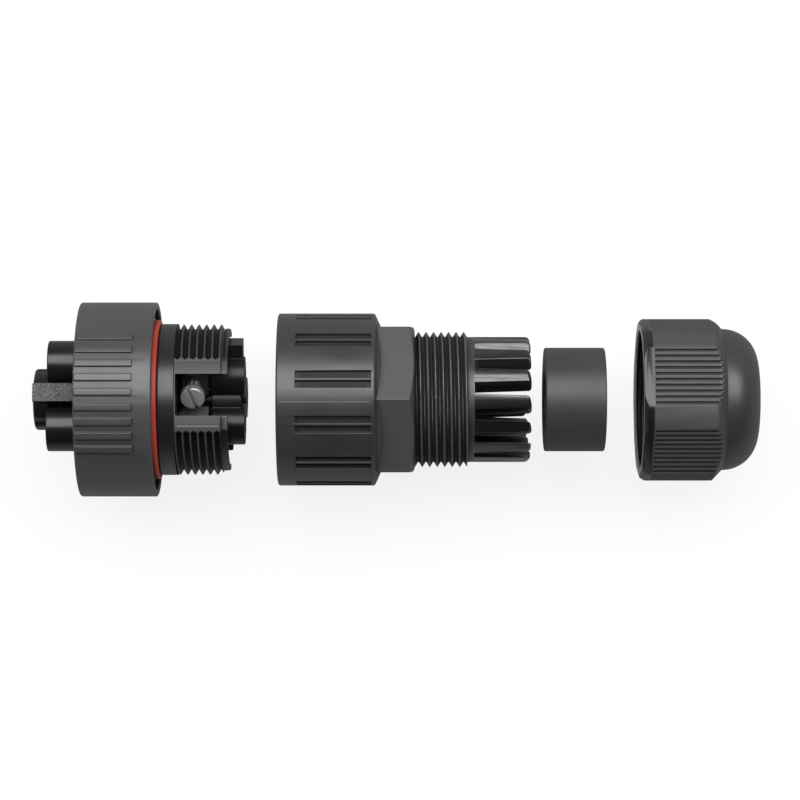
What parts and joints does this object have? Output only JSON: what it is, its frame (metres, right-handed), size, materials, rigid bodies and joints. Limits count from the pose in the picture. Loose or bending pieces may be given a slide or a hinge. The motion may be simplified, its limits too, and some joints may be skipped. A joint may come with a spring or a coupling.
{
  "type": "waterproof cable socket",
  "caption": "Round cable socket with a ribbed bayonet coupling ring, screw terminals, a threaded housing, clamping fingers, a rubber grommet and a domed gland nut, set out along one axis.",
  "frame": {"origin": "on the axis, at the front rim of the coupling ring, where the mating plug's ring meets it", "axes": "+X along the axis from the mating side to the cable, +Z towards the terminal window that shows in front, +Y square to both"},
  "size_m": [0.1441, 0.0388, 0.0396],
  "materials": {
    "insert_plastic": "glossy black moulding",
    "contact_metal": "turned brass",
    "cage_metal": "nickel-plated clamp",
    "screw_metal": "bright nickel plating",
    "body_plastic": "satin black moulding",
    "spring_steel": "spring steel",
    "black_rubber": "matte moulded rubber",
    "red_rubber": "moulded silicone rubber",
    "ring_plastic": "fine matte moulding",
    "housing_plastic": "fine matte moulding",
    "nut_plastic": "satin moulding"
  },
  "bodies": {
    "socket": {"socket_insert": "insert_plastic", "terminal_carrier": "insert_plastic", "contact_1": "contact_metal", "contact_2": "contact_metal", "contact_3": "contact_metal", "clamp_cage_1": "cage_metal", "clamp_cage_2": "cage_metal", "clamp_cage_3": "cage_metal", "tail_body": "body_plastic", "snap_ring": "spring_steel", "mating_seal": "black_rubber", "housing_seal": "red_rubber"},
    "ring": {"coupling_ring": "ring_plastic"},
    "screw_1": {"terminal_screw_1": "screw_metal"},
    "screw_2": {"terminal_screw_2": "screw_metal"},
    "screw_3": {"terminal_screw_3": "screw_metal"},
    "housing": {"cable_housing": "housing_plastic"},
    "grommet": {"grommet": "black_rubber"},
    "nut": {"gland_nut": "nut_plastic"}
  },
  "joints": [
    {"name": "ring_turn", "type": "hinge", "parent": "socket", "child": "ring", "pos_m": [0, 0, 0], "axis": [1, 0, 0], "continuous": true},
    {"name": "screw_1_turn", "type": "hinge", "parent": "socket", "child": "screw_1", "pos_m": [0.0227, 0.00058, 0.00898], "axis": [0, -0.549, 0.8358], "continuous": true},
    {"name": "screw_2_turn", "type": "hinge", "parent": "socket", "child": "screw_2", "pos_m": [0.0227, -0.00807, -0.00399], "axis": [0, -0.4493, -0.8934], "continuous": true},
    {"name": "screw_3_turn", "type": "hinge", "parent": "socket", "child": "screw_3", "pos_m": [0.0227, 0.00749, -0.00499], "axis": [0, 0.9983, 0.0576], "continuous": true},
    {"name": "housing_slide", "type": "slide", "parent": "socket", "child": "housing", "axis": [-1, 0, 0], "range_m": [0, 0.0231]},
    {"name": "nut_slide", "type": "slide", "parent": "housing", "child": "nut", "axis": [-1, 0, 0], "range_m": [0, 0.0385]},
    {"name": "grommet_slide", "type": "slide", "parent": "housing", "child": "grommet", "axis": [-1, 0, 0], "range_m": [0, 0.0146]}
  ],
  "couplings": [
    {"joint": "grommet_slide", "follows": "nut_slide", "ratio": 0.379}
  ]
}
